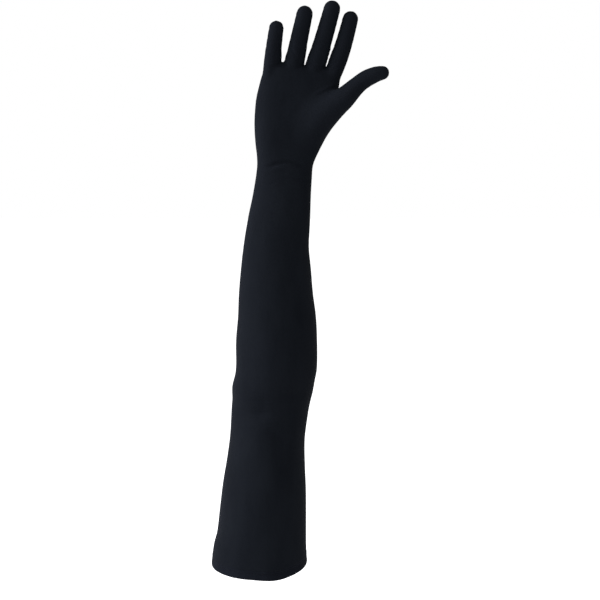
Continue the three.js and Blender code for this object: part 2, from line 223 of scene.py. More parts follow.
def oval_rings(rows, sides, relief=False):
    """One ring of points for each row, as an array of rings, points and coordinates."""
    angle = np.linspace(0, 2 * np.pi, sides, endpoint=False)[None, :]
    col = {name: column[:, None] for name, column in rows.items()}
    skew = np.radians(col.get("skew", 0.0))
    power = 2 / col.get("square", np.full_like(col["z"], 2.0))
    sink = relief_depth(np.degrees(angle), col["z"]) if relief else 0.0
    across = np.maximum(col["half_width"] - sink, THINNEST) * signed_power(np.cos(angle), power)
    through = np.maximum(col["half_depth"] - sink, THINNEST) * signed_power(np.sin(angle + skew), power)
    tilt = np.radians(col["tilt"])
    x = col["x"] + across * np.cos(tilt)
    y = seam_depth(col["x"], col["z"]) + through
    z = col["z"] + across * np.sin(tilt)
    return np.stack([x, y + 0 * x, z], axis=-1)


print("seam curve:", len(SEAM_CURVE["z"]), "places")

# %% [markdown]
# ## One tight skin
#
# The sleeve, the fingers and the thumb are lofted one by one, as closed tubes that run into each
# other. A boolean would leave a hard line where two tubes meet, and stretched cloth never shows
# one. A voxel remesh melts them into one even skin. A few rounds of smoothing then let the skin
# lift wherever it is hollow and never sink where it is full, just as elastic cloth does: it
# bridges the crotches of the fingers and the edge of the thumb's mound.

# %% Closed tubes
TIP_RINGS = 8
BELOW_THE_HEM = 14             # the tube runs on past the opening and is trimmed later
SLEEVE_STEPS, THUMB_STEPS = 8, 6   # sections to a row of the table
FINGER_SECTIONS = 24
JOINT_AT = 0.52                # the middle joint, as a share of the finger's length
SLEEVE_SIDES, FINGER_SIDES = 120, 40


def change_along(column):
    """How much a column changes from the row before to the row after."""
    return np.r_[column[1:], column[-1]] - np.r_[column[0], column[:-1]]


def squared_to_line(rows):
    """Turns each row square to the line that the rows follow."""
    lean = np.arctan2(change_along(rows["x"]), change_along(rows["z"]))
    return {**rows, "tilt": -np.degrees(lean)}


def end_rows(rows):
    """The last row, a copy of it for each ring of a rounded end, and how far each ring has turned."""
    last = {k: v[-1] for k, v in rows.items()}
    turn = np.linspace(0, np.pi / 2, TIP_RINGS + 2)[1:-1]
    return last, {k: np.full(len(turn), v) for k, v in last.items()}, turn


def with_round_tip(rows):
    """Adds the rows that close a finger in a dome."""
    last, tip, turn = end_rows(rows)
    lean = -math.radians(last["tilt"])
    tip["x"] = last["x"] + last["half_width"] * np.sin(turn) * math.sin(lean)
    tip["z"] = last["z"] + last["half_width"] * np.sin(turn) * math.cos(lean)
    tip["half_width"] = last["half_width"] * np.cos(turn)
    tip["half_depth"] = last["half_depth"] * np.cos(turn)
    return {k: np.r_[v, tip[k]] for k, v in rows.items()}


def with_palm_edge(rows):
    """Adds the rows that round the palm off from front to back, between the fingers."""
    last, edge, turn = end_rows(rows)
    tilt = math.radians(last["tilt"])
    edge["x"] = last["x"] - PALM_EDGE * np.sin(turn) * math.sin(tilt)
    edge["z"] = last["z"] + PALM_EDGE * np.sin(turn) * math.cos(tilt)
    edge["half_depth"] = last["half_depth"] * np.cos(turn)
    return {k: np.r_[v, edge[k]] for k, v in rows.items()}


def finger_rows(root_x, root_z, tip_x, tip_z, bow, root_half, joint_half, tip_half):
    length = math.hypot(tip_x - root_x, tip_z - root_z)
    round_start = 1 - tip_half / length
    share = np.linspace(0, round_start, FINGER_SECTIONS)
    half = np.interp(share, [0, JOINT_AT, round_start], [root_half, joint_half, tip_half])
    return squared_to_line({
        "x": root_x + (tip_x - root_x) * share + bow * 4 * share * (1 - share),
        "z": root_z + (tip_z - root_z) * share,
        "half_width": half,
        "half_depth": half * FINGER_DEPTH,
    })


def closed_loft(rings):
    """Points and faces of the body through these rings, capped at both ends."""
    count, sides = rings.shape[:2]
    points = np.vstack([rings.reshape(-1, 3), rings[0].mean(0), rings[-1].mean(0)])
    ring, side = np.meshgrid(np.arange(count - 1), np.arange(sides), indexing="ij")
    a = (ring * sides + side).ravel()
    b = (ring * sides + (side + 1) % sides).ravel()
    faces = np.stack([a, b, b + sides, a + sides], axis=1).tolist()
    bottom, top = count * sides, count * sides + 1
    last = (count - 1) * sides
    for k in range(sides):
        faces.append([bottom, (k + 1) % sides, k])
        faces.append([top, last + k, last + (k + 1) % sides])
    return points, faces


sleeve = smoothed(SLEEVE, SLEEVE_STEPS)
below = {k: np.r_[v[0], v] for k, v in sleeve.items()}
below["z"][0] -= BELOW_THE_HEM
tubes = [closed_loft(oval_rings(with_palm_edge(below), SLEEVE_SIDES, relief=True))]
finger_lines = {name: finger_rows(*row) for name, row in FINGERS.items()}
for rows in finger_lines.values():
    tubes.append(closed_loft(oval_rings(with_round_tip(rows), FINGER_SIDES)))
thumb_line = squared_to_line(smoothed(THUMB, THUMB_STEPS))
tubes.append(closed_loft(oval_rings(with_round_tip(thumb_line), FINGER_SIDES)))
print(len(tubes), "tubes,", sum(len(points) for points, _ in tubes), "points")


# %% Melting the tubes into one skin
VOXEL = 1.4                    # a finer skin would have too many triangles


def new_object(name, points, faces):
    """A mesh object from points in millimetres."""
    mesh = bpy.data.meshes.new(name)
    mesh.from_pydata((np.asarray(points) * MM).tolist(), [], faces)
    mesh.update()
    made = bpy.data.objects.new(name, mesh)
    bpy.context.scene.collection.objects.link(made)
    return made


def melted(tubes, voxel):
    points, faces = [], []
    for tube_points, tube_faces in tubes:
        start = sum(len(p) for p in points)
        points.append(tube_points)
        faces += [[start + k for k in face] for face in tube_faces]
    made = new_object("melting", np.vstack(points), faces)
    remesh = made.modifiers.new("remesh", "REMESH")
    remesh.mode = "VOXEL"
    remesh.voxel_size = voxel * MM
    remesh.adaptivity = 0
    bpy.context.view_layer.update()
    result = made.evaluated_get(bpy.context.evaluated_depsgraph_get()).to_mesh()
    result.calc_loop_triangles()
    out = np.empty(len(result.vertices) * 3)
    result.vertices.foreach_get("co", out)
    triangles = np.empty(len(result.loop_triangles) * 3, np.int32)
    result.loop_triangles.foreach_get("vertices", triangles)
    bpy.data.objects.remove(made)
    return out.reshape(-1, 3) / MM, triangles.reshape(-1, 3)


skin, skin_faces = melted(tubes, VOXEL)
print("skin:", len(skin), "points,", len(skin_faces), "triangles")


# %% Letting the skin settle
def edges_of(faces):
    pairs = np.sort(np.concatenate([faces[:, [0, 1]], faces[:, [1, 2]], faces[:, [2, 0]]]), axis=1)
    return np.unique(pairs, axis=0)


def normals_of(points, faces):
    a, b, c = (points[faces[:, k]] for k in range(3))
    flat = np.cross(b - a, c - a)
    total = np.stack([
        sum(np.bincount(faces[:, k], flat[:, axis], len(points)) for k in range(3)) for axis in range(3)
    ], axis=1)
    return total / np.maximum(np.linalg.norm(total, axis=1, keepdims=True), 1e-12)


class Neighbours:
    """Averages over the points next to each point."""

    def __init__(self, faces, count):
        self.a, self.b = edges_of(faces).T
        self.count = count
        ends = np.bincount(self.a, minlength=count) + np.bincount(self.b, minlength=count)
        self.degree = np.maximum(ends, 1)

    def mean(self, values):
        columns = values.reshape(self.count, -1)
        total = [
            np.bincount(self.a, c[self.b], self.count) + np.bincount(self.b, c[self.a], self.count)
            for c in columns.T
        ]
        return (np.stack(total, axis=1) / self.degree[:, None]).reshape(values.shape)


SHRINK, REGROW = 0.5, 0.52     # the two halves of one round of evening
EVEN_ROUNDS, LAST_ROUNDS = 14, 4
BRIDGE_ROUNDS, BRIDGE_SHARE = 12, 0.9
FINGER_ROOTS = (515, 527)      # heights between which the bridging nearly ends, so that no web grows
ROOTS_SPARED = 0.9


def evened(points, net, rounds):
    """Takes the voxels' steps out of the skin and keeps its size."""
    for _ in range(rounds):
        points = points + SHRINK * (net.mean(points) - points)
        points = points - REGROW * (net.mean(points) - points)
    return points


skin_net = Neighbours(skin_faces, len(skin))
skin = evened(skin, skin_net, EVEN_ROUNDS)
for _ in range(BRIDGE_ROUNDS):
    outward = normals_of(skin, skin_faces)
    pull = skin_net.mean(skin) - skin
    lift = np.maximum((pull * outward).sum(1), 0)
    lift *= 1 - ROOTS_SPARED * smoothstep(skin[:, 2], *FINGER_ROOTS)
    skin += BRIDGE_SHARE * lift[:, None] * outward
skin = evened(skin, skin_net, LAST_ROUNDS)
print("bridged skin spans", np.ptp(skin, axis=0).round(1), "mm")


# %% Tightening the skin at a few places
TOUCHED = 2.5                  # in reaches from the centre, like the next line
FULL_WITHIN, NONE_BEYOND = 0.5, 2.1
EASE_SHARE = 0.8               # of the way to the neighbours, in one round
LIFT_ROUNDS = 12


def settled(points, faces, centre, reach, rounds, only_lift):
    """Lets the skin near one place tighten: evened out, or only lifted where it is hollow."""
    away = np.linalg.norm(points - centre, axis=1) / reach
    near = np.flatnonzero(away < TOUCHED)
    number = np.full(len(points), -1)
    number[near] = np.arange(len(near))
    local = number[faces]
    local = local[(local >= 0).all(1)]
    net = Neighbours(local, len(near))
    weight = 1 - smoothstep(away[near, None], FULL_WITHIN, NONE_BEYOND)
    eased = points[near].copy()
    for _ in range(rounds):
        eased += EASE_SHARE * weight * (net.mean(eased) - eased)
    shift = eased - points[near]
    if only_lift:
        outward = normals_of(points, faces)[near]
        lift = np.maximum((shift * outward).sum(1, keepdims=True), 0)
        for _ in range(LIFT_ROUNDS):
            lift += EASE_SHARE * weight * (net.mean(lift) - lift)
        shift = lift * outward
    moved = points.copy()
    moved[near] += shift
    return moved


TIGHTENED = [
    # centre, reach, rounds, only lifted
    ((54, -26, 486), 32, 700, True),       # hollow of the palm
    ((60, -31, 477), 17, 90, False),       # the thumb's mound
    ((74, -18, 499), 11, 60, True),        # web of the thumb
    ((72, 4, 490), 18, 60, False),         # the web's back
    ((74, -24, 494), 13, 30, False),       # upper end of the mound
    ((103, -22, 501), 9, 25, False),       # underside of the thumb
]
for centre, reach, rounds, only_lift in TIGHTENED:
    skin = settled(skin, skin_faces, np.array(centre, float), reach, rounds, only_lift)
print("settled skin spans", np.ptp(skin, axis=0).round(1), "mm")

# %% [markdown]
# ## Folds
#
# Stretch cloth folds only where the body bends or where it has to bridge a hollow. Each fold is
# a short curve drawn on the palm or the back, in the plane that a viewer sees. The skin sinks
# along it and rises a little on one side, where the spare cloth piles up. A table of curves is
# easier to match to a real glove than a cloth simulation, which would need a solid form inside.

# %% Drawing a fold
PALM, BACK = -1, 1
FOLD_REACH = 5                 # in widths of the fold, like the next line
LIP_PLACE, LIP_WIDTH = 1.9, 1.3
SEEN_FROM, SEEN_WELL = 0.05, 0.45   # how squarely the skin has to face the viewer


def through_points(path, count=60):
    """Evenly spread points on a smooth curve through a short list of points."""
    path = np.array(path, float)
    dense = smoothed({"x": path[:, 0], "z": path[:, 1]}, CURVE_STEPS)
    line = np.stack([dense["x"], dense["z"]], axis=1)
    run = np.r_[0, np.cumsum(np.linalg.norm(np.diff(line, axis=0), axis=1))]
    at = np.linspace(0, run[-1], count)
    return np.stack([np.interp(at, run, line[:, k]) for k in (0, 1)], axis=1)


def fold(points, outward, path, side, width, depth, lip=0.0, lip_side=1, fade=0.3):
    """How far each point rises, for a fold along a curve of x and z on one side of the glove."""
    line = through_points(path)
    rise = np.zeros(len(points))
    low, high = line.min(0) - FOLD_REACH * width, line.max(0) + FOLD_REACH * width
    seen = side * outward[:, 1]
    near = np.flatnonzero(
        (points[:, 0] > low[0]) & (points[:, 0] < high[0])
        & (points[:, 2] > low[1]) & (points[:, 2] < high[1]) & (seen > 0)
    )
    if not len(near):
        return rise
    flat = points[near][:, [0, 2]]
    gap = np.linalg.norm(flat[:, None, :] - line[None], axis=2)
    nearest = gap.argmin(1)
    distance = gap[np.arange(len(near)), nearest]
    ahead = np.gradient(line, axis=0)[nearest]
    offset = flat - line[nearest]
    beside = np.sign(ahead[:, 0] * offset[:, 1] - ahead[:, 1] * offset[:, 0]) * lip_side * distance
    run = nearest / (len(line) - 1)
    ends = smoothstep(run, 0, fade) * smoothstep(1 - run, 0, fade)
    valley = -depth * np.exp(-(distance / width) ** 2)
    raised = lip * np.exp(-((beside - LIP_PLACE * width) / (LIP_WIDTH * width)) ** 2)
    rise[near] = (valley + raised) * ends * smoothstep(seen[near], SEEN_FROM, SEEN_WELL)
    return rise


# %% Folds at the wrist, the elbow and the fingers
FOLDS = {
    # name: side, width, depth, lip, side of the lip, share that fades at each end, curve
    "thumb_crease": (PALM, 1.3, 0.6, 0.6, -1, 0.25,
                     [(83, 509), (76, 505.8), (70, 503.2), (64, 500.2), (57, 496.5)]),
    "wrist_fold": (PALM, 2.1, 1.8, 0.4, -1, 0.26,
                   [(6, 429), (15.5, 430), (24, 432.8), (33, 434), (40, 433), (46, 430), (51, 426)]),
    "wrist_crease": (PALM, 1.9, 0.7, 0.35, 1, 0.3, [(37, 417.5), (44, 417.3), (50, 416.2), (56, 413.5)]),
    "elbow_dent": (PALM, 8, 1.9, 0.1, 1, 0.36,
                   [(-34, 175), (-24, 174.2), (-12, 174.2), (2, 176), (18, 181)]),
    "elbow_low": (PALM, 4, 0.5, 0.2, 1, 0.4, [(8, 163), (17, 158), (24, 151)]),
    "elbow_far": (PALM, 6, 0.6, 0.2, 1, 0.4, [(26, 194), (38, 197), (50, 200)]),
    "ring_base": (PALM, 1.5, 0.6, 0.4, 1, 0.35, [(33, 545), (37.5, 540.5), (42.5, 535.5)]),
    "little_base": (PALM, 1.7, 0.5, 0.3, 1, 0.35, [(8, 528), (14, 526), (22, 527.5)]),
    "middle_base": (PALM, 1.5, 0.45, 0.3, 1, 0.35, [(50, 536), (56, 532), (64, 530.5)]),
    "index_base": (PALM, 1.6, 0.5, 0.3, 1, 0.35, [(70, 529), (78, 525.5), (88, 524.5)]),
    "palm_line": (PALM, 3, 0.3, 0.1, 1, 0.4, [(20, 503), (36, 497), (54, 498), (68, 506)]),
    "back_wrist": (BACK, 2.4, 0.8, 0.4, 1, 0.35, [(6, 424), (20, 428), (36, 427), (50, 421)]),
    "back_wrist_low": (BACK, 2.2, 0.5, 0.3, 1, 0.35, [(14, 414), (27, 417), (42, 415)]),
    "back_elbow": (BACK, 5, 1.1, 0.5, 1, 0.35, [(-12, 204), (6, 210), (26, 210), (44, 203)]),
    "back_elbow_low": (BACK, 5, 0.8, 0.3, -1, 0.35, [(-14, 164), (4, 158), (22, 158), (38, 165)]),
    "back_web": (BACK, 3, 1.1, 0.5, 1, 0.35, [(84, 507), (76, 497), (66, 483), (58, 466)]),
}
outward = normals_of(skin, skin_faces)
rise = np.zeros(len(skin))
for name, (side, width, depth, lip, lip_side, fade, path) in FOLDS.items():
    rise += fold(skin, outward, path, side, width, depth, lip, lip_side, fade)
print(len(FOLDS), "folds, deepest", round(-rise.min(), 2), "mm")


# %% Creases at the finger joints
JOINTS = [
    # share of the length, depth on the palm's side, depth on the back
    (0.36, 0.35, 0.2), (0.6, 0.45, 0.5), (0.8, 0.35, 0.35),
]
THUMB_JOINTS = [(0.64, 0.2, 0.35)]
CREASE_WIDTH, CREASE_FADE = 1.2, 0.4
PALM_LIP, BACK_LIP = 0.15, 0.1
BACK_PAIR = (-0.022, 0.022)    # the back has two finer creases, at these shares below and above the joint
BACK_SHARE = 0.6               # depth of each, as a share of the depth on the back


def across_finger(rows, share, spread=0.85, droop=1.2):
    """A short curve across a finger at a share of its length."""
    here = {k: np.interp(share, np.linspace(0, 1, len(v)), v) for k, v in rows.items()}
    middle = np.array([here["x"], here["z"]])
    half = here["half_width"] * spread
    tilt = math.radians(here["tilt"])
    step = np.array([math.cos(tilt), math.sin(tilt)]) * half
    down = np.array([-math.sin(tilt), math.cos(tilt)]) * droop
    return [middle - step - down, middle, middle + step - down]


jointed = [(rows, JOINTS) for rows in finger_lines.values()] + [(thumb_line, THUMB_JOINTS)]
for rows, joints in jointed:
    for share, palm_depth, back_depth in joints:
        path = across_finger(rows, share)
        rise += fold(skin, outward, path, PALM, CREASE_WIDTH, palm_depth, PALM_LIP, 1, CREASE_FADE)
        for nudge in BACK_PAIR:
            path = across_finger(rows, share + nudge)
            deep = back_depth * BACK_SHARE
            rise += fold(skin, outward, path, BACK, CREASE_WIDTH, deep, BACK_LIP, 1, CREASE_FADE)
print("joints with creases:", sum(len(joints) for _, joints in jointed))


# %% Small pulls in the cloth
PULLS = {
    # name: side, count, middle x z, spread x z, lean in degrees, length, width, depth
    "elbow": (PALM, 10, (4, 188), (26, 16), 8, 34, 3.4, 0.25),
    "forearm": (PALM, 10, (20, 290), (22, 60), 84, 60, 6, 0.12),
    "upper_arm": (PALM, 8, (4, 90), (26, 50), 60, 50, 8, 0.12),
    "wrist": (PALM, 9, (28, 414), (18, 10), 6, 22, 1.9, 0.14),
    "palm": (PALM, 10, (40, 486), (20, 20), 65, 26, 2.6, 0.12),
    "thumb": (PALM, 8, (84, 497), (14, 9), 38, 20, 2, 0.12),
    "back_elbow": (BACK, 14, (14, 186), (24, 18), 6, 36, 3.6, 0.4),
    "back_forearm": (BACK, 12, (18, 300), (20, 60), 86, 60, 5, 0.28),
    "back_upper_arm": (BACK, 10, (4, 90), (26, 50), 82, 70, 6, 0.3),
    "back_hand": (BACK, 12, (44, 480), (22, 20), 76, 34, 2.6, 0.3),
    "back_wrist": (BACK, 9, (28, 418), (18, 9), 4, 24, 2, 0.3),
}
PULL_SCATTER, PULL_TURN, PULL_BEND = 0.6, 12, 0.08   # in spreads, degrees and lengths
PULL_LENGTHS, PULL_DEPTHS, PULL_WIDTHS = (0.6, 1.2), (0.4, 1.2), (0.8, 1.3)
PULL_LIP, PULL_FADE = 0.5, 0.45


def one_pull(side, middle, spread, lean, length, width, depth):
    """How far each point rises, for one pull at a random place and turn near the middle."""
    place = np.array(middle) + rng.normal(0, PULL_SCATTER, 2) * spread
    turn = math.radians(lean + rng.normal(0, PULL_TURN))
    half = 0.5 * length * rng.uniform(*PULL_LENGTHS) * np.array([math.cos(turn), math.sin(turn)])
    bend = rng.normal(0, PULL_BEND) * np.array([-half[1], half[0]])
    path = [place - half, place + bend, place + half]
    deep = depth * rng.uniform(*PULL_DEPTHS)
    wide = width * rng.uniform(*PULL_WIDTHS)
    return fold(skin, outward, path, side, wide, deep, PULL_LIP * deep, 1, PULL_FADE)


for side, count, *shape in PULLS.values():
    for _ in range(count):
        rise += one_pull(side, *shape)
skin += rise[:, None] * outward
print("with creases and pulls, deepest", round(-rise.min(), 2), "mm")

# %% [markdown]
# ## Narrow gaps
#
# Two fingers that stand close press their sides together just above the place where they meet, and
# the gap between them starts as a narrow V. Wider finger roots would close it too high up, so only
# the two sides that face each other swell, and the swelling fades up the gap.

# %% Narrow gaps between the fingers
SQUEEZE_START = (-3, 2)        # heights from the meeting place, along the gap
SQUEEZE_FULL_TO = 5
SQUEEZE_BESIDE = (5, 9)        # distances from the gap's middle
SQUEEZE_FACING = (0.3, 0.9)    # how squarely the skin faces the gap
# x and z: where the two fingers meet. lean: x for each z up the gap. fade: the height it ends at.
GAPS = table("x z lean squeeze fade", [
    (26.6, 531, 0.166, 0.7, 14),
    (50, 528.3, 0.265, 0.95, 24),
    (70.8, 525.3, 0.314, 0.75, 24),
])


def squeezed(points, outward):
    """How far the sides of two fingers swell towards each other above the place where they meet."""
    rise = np.zeros(len(points))
    for x, z, lean, squeeze, fade in zip(*GAPS.values()):
        up = np.array([lean, 1]) / math.hypot(lean, 1)
        aside = np.array([up[1], -up[0]])
        from_base = points[:, [0, 2]] - (x, z)
        along, across = from_base @ up, from_base @ aside
        facing = np.abs(outward[:, [0, 2]] @ aside)
        near = smoothstep(along, *SQUEEZE_START) * (1 - smoothstep(along, SQUEEZE_FULL_TO, fade))
        near *= 1 - smoothstep(np.abs(across), *SQUEEZE_BESIDE)
        rise += squeeze * near * smoothstep(facing, *SQUEEZE_FACING)
    return rise


outward = normals_of(skin, skin_faces)
swell = squeezed(skin, outward)
skin += swell[:, None] * outward
print("finger sides swell by up to", round(swell.max(), 2), "mm")

# %% [markdown]
# ## Two panels and their seam
#
# The real glove is two flat cuts of cloth, sewn edge to edge. Here the skin is parted along the
# same line. A boolean would leave slivers there, so the points nearest to the line are slid onto
# it along their own edges, which parts the skin cleanly. Each edge is then tucked in a little,
# unevenly, because a stretch seam pulls its two edges down and gathers them slightly.

# %% Where the seam and the opening lie
HEM_HEIGHT = 10
HEM_TILT = math.radians(3.6)
SAG = 2.4                      # how far the edge of the opening hangs down in front, where it sits loosest
SAG_X, SAG_REACH = 20, 19
SAG_FRONT = (4, 36)            # distances to the front over which it grows
SAG_FADE = (8, 46)             # heights between which it dies out


def above_hem(points):
    """Height above the plane of the arm opening."""
    return points[:, 2] * math.cos(HEM_TILT) - points[:, 0] * math.sin(HEM_TILT)


def from_seam(points):
    return points[:, 1] - seam_depth(points[:, 0], points[:, 2])


def sagged(points):
    """Lets the front of the arm opening hang down a little."""
    down = SAG * np.exp(-((points[..., 0] - SAG_X) / SAG_REACH) ** 2)
    down = down * smoothstep(-points[..., 1], *SAG_FRONT) * (1 - smoothstep(points[..., 2], *SAG_FADE))
    return points - down[..., None] * np.array([0, 0, 1])


def slid_onto(points, faces, measure):
    """Slides the nearest points onto the surface where measure is zero."""
    value = measure(points)
    a, b = edges_of(faces).T
    crossing = value[a] * value[b] < 0
    a, b = a[crossing], b[crossing]
    share = value[a] / (value[a] - value[b])
    first = share < 0.5
    mover = np.where(first, a, b)
    target = points[a] + share[:, None] * (points[b] - points[a])
    distance = np.where(first, share, 1 - share)
    order = np.argsort(-distance)
    moved = points.copy()
    moved[mover[order]] = target[order]
    on_line = np.zeros(len(points), bool)
    on_line[mover] = True
    return moved, on_line


print("the opening is tilted by", round(math.degrees(HEM_TILT), 1), "degrees")


# %% Parting the skin
SEAM_TUCK = 0.5
PUCKER, PUCKER_LENGTH = 0.16, 4.5
TUCK_DRIFT, DRIFT_LENGTH = 0.2, 17   # some stretches of the seam are tucked deeper than others
RUN_ACROSS = 0.6               # how fast the pucker runs along X, for the fingers and the thumb
BESIDE_SEAM = 0.45             # share of the tuck in the points next to the seam
PANEL_FOOT = HEM_HEIGHT + 0.1  # just above the hem, so that the pieces stay apart
FOOT_TUCK = 0.1
HEM_PUFF = 0.2                 # the free edge of the turned-up cloth shows through as a faint ridge
PUFF_RISE, PUFF_WIDTH = 1.2, 1.0
skin, on_seam = slid_onto(skin, skin_faces, from_seam)
skin, on_foot = slid_onto(skin, skin_faces, lambda p: above_hem(p) - PANEL_FOOT)
outward = normals_of(skin, skin_faces)
seam_run = skin[:, 2] + RUN_ACROSS * skin[:, 0]
tuck = SEAM_TUCK + PUCKER * np.sin(2 * np.pi * seam_run / PUCKER_LENGTH)
tuck *= 1 - TUCK_DRIFT + TUCK_DRIFT * np.sin(seam_run / DRIFT_LENGTH)
tucked = np.where(on_seam, tuck, 0.0)
skin_net = Neighbours(skin_faces, len(skin))
around = skin_net.mean(tucked) * BESIDE_SEAM
tucked = np.maximum(tucked, np.where(on_seam, 0, around))
tucked = np.maximum(tucked, np.where(on_foot, FOOT_TUCK, 0.0))
tucked -= HEM_PUFF * np.exp(-((above_hem(skin) - PANEL_FOOT - PUFF_RISE) / PUFF_WIDTH) ** 2)
skin -= tucked[:, None] * outward
middle = skin[skin_faces].mean(1)
is_above = above_hem(middle) > PANEL_FOOT
is_palm = from_seam(middle) < 0
skin = sagged(skin)
print("on the seam:", int(on_seam.sum()), "points, palm triangles:", int((is_above & is_palm).sum()))


# %% Giving the cloth its thickness
CLOTH = 0.7


def as_cloth(points, outward, faces, thickness):
    """A closed skin: the outer side, an inner side, and a rim along every free edge."""
    used = np.unique(faces)
    renumber = np.full(len(points), -1)
    renumber[used] = np.arange(len(used))
    outer = points[used]
    inner = outer - thickness * outward[used]
    faces = renumber[faces]
    directed = np.concatenate([faces[:, [0, 1]], faces[:, [1, 2]], faces[:, [2, 0]]])
    key = np.sort(directed, axis=1)
    _, first, uses = np.unique(key, axis=0, return_index=True, return_counts=True)
    free = directed[first[uses == 1]]
    shift = len(used)
    rim = np.concatenate([
        np.stack([free[:, 1], free[:, 0], free[:, 0] + shift], axis=1),
        np.stack([free[:, 1], free[:, 0] + shift, free[:, 1] + shift], axis=1),
    ])
    return np.vstack([outer, inner]), np.vstack([faces, faces[:, ::-1] + shift, rim]).tolist()


def largest_part(faces, count):
    """The faces of the largest connected piece, so that no crumb is left on the wrong side."""
    label = np.arange(count)
    a, b = edges_of(faces).T
    while True:
        low = np.minimum(label[a], label[b])
        fresh = label.copy()
        np.minimum.at(fresh, a, low)
        np.minimum.at(fresh, b, low)
        fresh = fresh[fresh]
        if (fresh == label).all():
            break
        label = fresh
    owner = label[faces[:, 0]]
    names, sizes = np.unique(owner, return_counts=True)
    return faces[owner == names[sizes.argmax()]]


def smooth_object(name, points, faces):
    made = new_object(name, points, faces)
    made.data.shade_smooth()
    return made


panels = {}
outward = normals_of(skin, skin_faces)
for name, chosen in (("palm_cloth", is_above & is_palm), ("back_cloth", is_above & ~is_palm)):
    faces = largest_part(skin_faces[chosen], len(skin))
    panels[name] = smooth_object(name, *as_cloth(skin, outward, faces, CLOTH))
    print(name, len(panels[name].data.polygons), "triangles")

# %% [markdown]
# ## The hem
#
# The cloth is turned up inside and held by one row of stitches, so the lowest 10 mm are double.
# The fold at the bottom is round and soft, and the stitches pull a shallow channel into both
# layers. A solidified ring would hide the fold, so the section of the folded cloth is drawn
# point by point and carried round the opening.

# %% The folded cloth
HEM_SIDES = 320
HEM_SECTIONS = 2 * SLEEVE_STEPS   # as many of the sleeve's sections as the hem needs
HEM_PROFILE = table("out height", [
    # the outer layer, from the edge that meets the panels past the channel of the stitches
    (-0.6, 10.4), (-0.1, 10.25), (0.08, 9.9), (0.1, 9.4), (0.02, 8.7), (-0.16, 7.9),
    (-0.27, 7.3), (-0.2, 6.6), (-0.02, 5.2), (0.06, 3.8), (0.06, 2.2),
    # round the fold at the bottom
    (-0.04, 0.9), (-0.26, 0.2), (-0.68, -0.1), (-1.1, 0.15), (-1.4, 0.9),
    # up the turned-in layer and over its cut edge
    (-1.52, 2.4), (-1.54, 5), (-1.5, 6.4), (-1.38, 7.3), (-1.5, 8.3), (-1.75, 10.2),
    (-1.78, 11.2), (-1.5, 11.6), (-1.2, 11.3),
    # down between the two layers and up again
    (-1.05, 10.2), (-0.9, 8.6), (-0.8, 7.3), (-0.75, 2.4), (-0.62, 2.4), (-0.64, 7.3), (-0.68, 9),
])
EASE = [(0.12, 9, 0.6), (0.08, 23, 0)]   # depth, waves round the opening and start of each unevenness
EASE_TO = 6                    # the height where it has died out


def hem_places(heights, sides):
    """Points of the skin and outward directions at each height above the opening, all the way round."""
    rows = {k: v[:HEM_SECTIONS] for k, v in below.items()}
    rings = oval_rings(rows, sides, relief=True)
    level = above_hem(rings.reshape(-1, 3)).reshape(rings.shape[:2])
    places = np.empty((len(heights), sides, 3))
    for k in range(sides):
        for axis in range(3):
            places[:, k, axis] = np.interp(heights, level[:, k], rings[:, k, axis])
    ahead = np.roll(places, -1, axis=1) - np.roll(places, 1, axis=1)
    up = np.array([math.sin(-HEM_TILT), 0, math.cos(HEM_TILT)])
    out = np.cross(ahead, up)
    return places, out / np.linalg.norm(out, axis=2, keepdims=True)


hem_angle = np.linspace(0, 2 * np.pi, HEM_SIDES, endpoint=False)
places, out = hem_places(HEM_PROFILE["height"], HEM_SIDES)
ease = sum(depth * np.sin(waves * hem_angle + start) for depth, waves, start in EASE)
loose = smoothstep(EASE_TO - HEM_PROFILE["height"], 0, EASE_TO)
offset = HEM_PROFILE["out"][:, None] + ease * loose[:, None]
hem_points = sagged(places + offset[..., None] * out)
count = len(HEM_PROFILE["out"])
ring, side = np.meshgrid(np.arange(count), np.arange(HEM_SIDES), indexing="ij")
a = (ring * HEM_SIDES + side).ravel()
b = (ring * HEM_SIDES + (side + 1) % HEM_SIDES).ravel()
c = ((ring + 1) % count * HEM_SIDES + (side + 1) % HEM_SIDES).ravel()
d = ((ring + 1) % count * HEM_SIDES + side).ravel()
hem = smooth_object("hem_cloth", hem_points.reshape(-1, 3), np.stack([a, d, c, b], axis=1).tolist())
print("hem:", len(hem.data.polygons), "faces")

# %% [markdown]
# ## Thread
#
# The hem's stitches are short dashes of thread that dive into the cloth at both ends. They are
# real geometry, one small capsule repeated round the hem and joined in one mesh, because a line
# of bump would vanish when the hem is seen edge on.

# %% Stitches round the hem
STITCH_HEIGHT, STITCH_SINK = 7.3, 0.08
STITCH_PITCH, STITCH_LENGTH = 3.0, 2.4
LENGTH_RANGE = (0.93, 1.05)    # in stitch lengths
STITCH_LEAN = (0.05, 0.03)     # its mean and its spread
LINE_POINTS = 720              # places on the line that the stitches follow
THREAD_RADIUS = 0.2
THREAD_END = 0.04              # squared share of the radius that is left at both ends
THREAD_DIVE = 0.35


def capsule(length, radius, sides=8, rings=7):
    """A short length of thread along X that thins and dives at both ends."""
    t = np.linspace(-1, 1, rings)
    thick = radius * np.sqrt(np.maximum(1 - np.abs(t) ** 4, THREAD_END))
    turn = np.linspace(0, 2 * np.pi, sides, endpoint=False)
    x = np.repeat(t[:, None] * length / 2, sides, axis=1)
    y = thick[:, None] * np.cos(turn)
    z = thick[:, None] * np.sin(turn) - THREAD_DIVE * np.abs(t[:, None]) ** 3
    return closed_loft(np.stack([x, y, z], axis=-1))


def joined(parts):
    points, faces = [], []
    start = 0
    for part_points, part_faces in parts:
        points.append(part_points)
        faces += [[start + k for k in face] for face in part_faces]
        start += len(part_points)
    return np.vstack(points), faces


